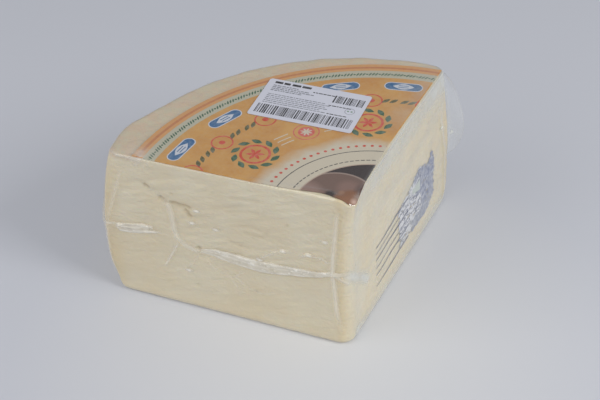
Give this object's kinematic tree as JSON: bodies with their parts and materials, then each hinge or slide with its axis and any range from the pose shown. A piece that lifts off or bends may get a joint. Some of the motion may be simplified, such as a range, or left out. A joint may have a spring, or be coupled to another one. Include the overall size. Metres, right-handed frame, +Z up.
{
  "type": "asiago fresco cheese quarter in vacuum film",
  "caption": "Wedge cut from a thick round pale cheese wheel, vacuum packed in clear film, with a printed paper label on top and a white price sticker.",
  "frame": {"origin": "middle of the pack's bounding box, on the plane it stands on", "axes": "+Z up through the wheel's thickness; the longer cut face looks along -Y and the other cut face looks along +X, so the rind curves round the -X and +Y sides"},
  "size_m": [0.1998, 0.1844, 0.1204],
  "materials": {
    "cheese": "pale cream pressed curd with a slightly yellower rind, seen through glossy clear film",
    "clear_film": "thin clear vacuum film with creases, glossy, whitish where it is folded",
    "label_paper": "matte printed paper in ochre and orange with cream and green bands",
    "sticker_paper": "satin white thermal paper with grey and black bars"
  },
  "bodies": {
    "root": {"vacuum_pack": "cheese", "film_ear": "clear_film", "top_label": "label_paper", "price_sticker": "sticker_paper"}
  },
  "joints": []
}
